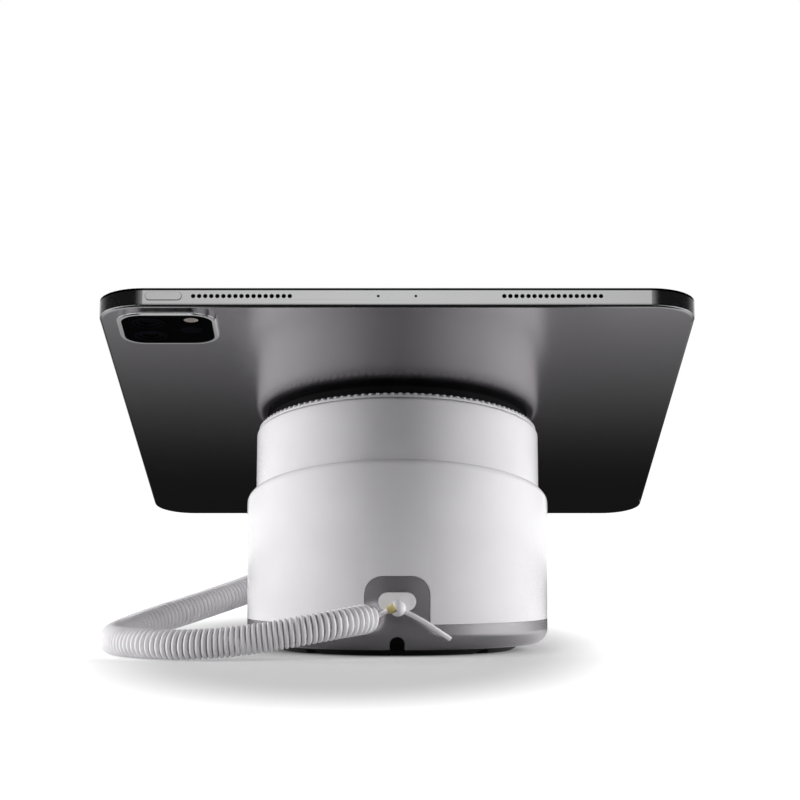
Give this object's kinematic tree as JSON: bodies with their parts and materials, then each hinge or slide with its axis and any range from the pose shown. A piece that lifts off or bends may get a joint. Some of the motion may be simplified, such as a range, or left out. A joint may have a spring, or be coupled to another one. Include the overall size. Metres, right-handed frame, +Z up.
{
  "type": "tablet security kiosk stand",
  "caption": "Counter stand with a weighted round base, slanted swivel head and toothed lock ring, holding a slab tablet, with a curly charging lead.",
  "frame": {"origin": "centre of the base's rubber foot, on the base's vertical axis, at counter level", "axes": "+Z up; -Y towards the tablet's raised top edge, the rear port and the lead; +Y towards the screen's user; +X to the right seen from the port side"},
  "size_m": [0.1868, 0.2509, 0.1138],
  "materials": {
    "white_plastic": "glossy white moulded plastic",
    "grey_plastic": "satin mid-grey moulded plastic",
    "dark_plastic": "satin dark grey plastic",
    "steel": "brushed zinc-plated steel",
    "rubber": "matt black rubber",
    "foam": "matt black adhesive foam",
    "bronze": "satin bearing bronze",
    "brass": "bright brass",
    "acetal": "waxy natural acetal",
    "circuit_board": "green solder mask",
    "cell_wrap": "satin cell wrap",
    "black_plastic": "satin black plastic",
    "tablet_metal": "bead-blasted dark grey anodised aluminium",
    "camera_metal": "polished anodised aluminium",
    "cover_glass": "black-backed polished cover glass",
    "display": "dark display panel",
    "lens": "dark coated lens",
    "flash": "frosted warm white diffuser",
    "nickel": "nickel plate",
    "lead_white": "satin white cable jacket"
  },
  "bodies": {
    "base": {"foot_pad": "rubber", "base_plate": "steel", "base_screws": "steel", "base_ring": "grey_plastic", "base_shell": "white_plastic", "port_insert": "white_plastic", "lead_bead": "white_plastic", "lead_ferrule": "brass", "alarm_board": "circuit_board", "board_standoffs": "brass", "sounder": "black_plastic", "backup_cell": "cell_wrap", "power_inlet": "nickel", "carrier_plate": "steel", "carrier_screws": "steel", "swivel_bush": "bronze", "thrust_washer": "acetal", "stop_pin": "steel", "curly_lead": "lead_white", "lead_tail": "lead_white"},
    "head": {"head_shell": "white_plastic", "swivel_spindle": "steel", "spindle_screws": "steel", "spring_washer": "steel", "spindle_nut": "steel", "mount_plate": "dark_plastic", "mount_screws": "steel", "adhesive_pad": "foam", "tablet_housing": "tablet_metal", "display_glass": "cover_glass", "display_panel": "display", "tablet_cells": "cell_wrap", "logic_board": "circuit_board", "speaker_boxes": "black_plastic", "speaker_meshes": "black_plastic", "charge_socket": "nickel", "camera_rim_frame": "camera_metal", "camera_glass": "cover_glass", "camera_lenses": "lens", "camera_flash": "flash", "plug_contact": "nickel", "plug_boot": "lead_white"},
    "lock_ring": {"lock_ring": "white_plastic"},
    "top_button": {"top_button": "tablet_metal"},
    "volume_up": {"volume_up": "tablet_metal"},
    "volume_down": {"volume_down": "tablet_metal"}
  },
  "joints": [
    {"name": "head_swivel", "type": "hinge", "parent": "base", "child": "head", "pos_m": [0, 0, 0.0503], "axis": [0, 0.2588, 0.9659], "range_deg": [-90, 90]},
    {"name": "lock_ring_turn", "type": "hinge", "parent": "head", "child": "lock_ring", "pos_m": [0, 0, 0.0503], "axis": [0, 0.2588, 0.9659], "range_deg": [0, 24]},
    {"name": "top_button_press", "type": "slide", "parent": "head", "child": "top_button", "axis": [0, 0.9659, -0.2588], "range_m": [0, 0.0003], "stiffness_N_per_m": 3000},
    {"name": "volume_up_press", "type": "slide", "parent": "head", "child": "volume_up", "axis": [1, 0, 0], "range_m": [0, 0.0003], "stiffness_N_per_m": 3000},
    {"name": "volume_down_press", "type": "slide", "parent": "head", "child": "volume_down", "axis": [1, 0, 0], "range_m": [0, 0.0003], "stiffness_N_per_m": 3000}
  ]
}
